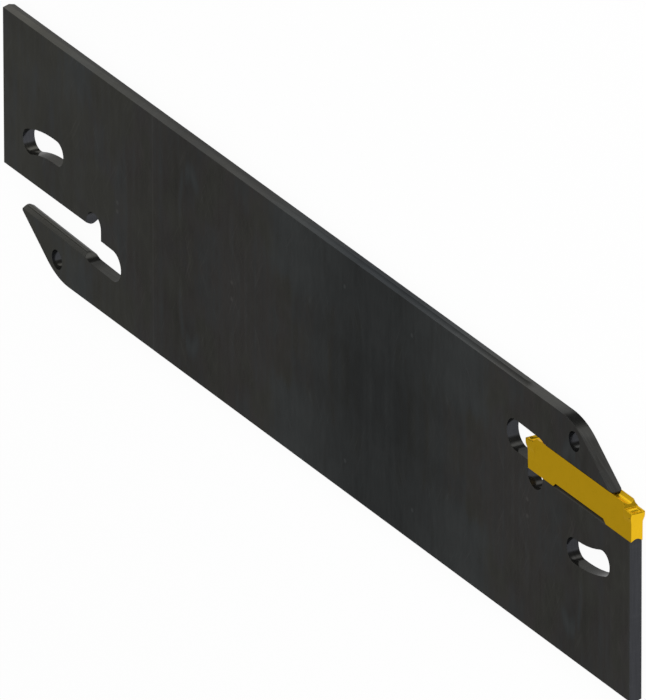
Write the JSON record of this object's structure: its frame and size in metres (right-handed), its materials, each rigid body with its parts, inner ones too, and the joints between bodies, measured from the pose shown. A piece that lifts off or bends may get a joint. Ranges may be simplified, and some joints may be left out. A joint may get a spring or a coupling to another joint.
{
  "type": "parting blade",
  "caption": "Flat parting-off blade with V-shaped long edges, a self-gripping clamping finger at each end and a gold-coated cutting insert gripped in a pocket.",
  "frame": {"origin": "under the middle of the part: centre of its bounding box in X and Y, at the height of its lowest point, which is the lower side of the insert's cutting heads", "axes": "+X along the blade towards the end that holds the insert, +Y across the blade's height towards the clamping finger of that end, +Z through the thickness, out of the side that the picture shows"},
  "size_m": [0.1506, 0.032, 0.002],
  "materials": {
    "blade_steel": "blackened spring steel, satin, ground grain across the height",
    "insert_coating": "gold-coloured nitride coating on sintered carbide, satin"
  },
  "bodies": {
    "root": {"blade": "blade_steel", "cutting_insert": "insert_coating"}
  },
  "joints": []
}
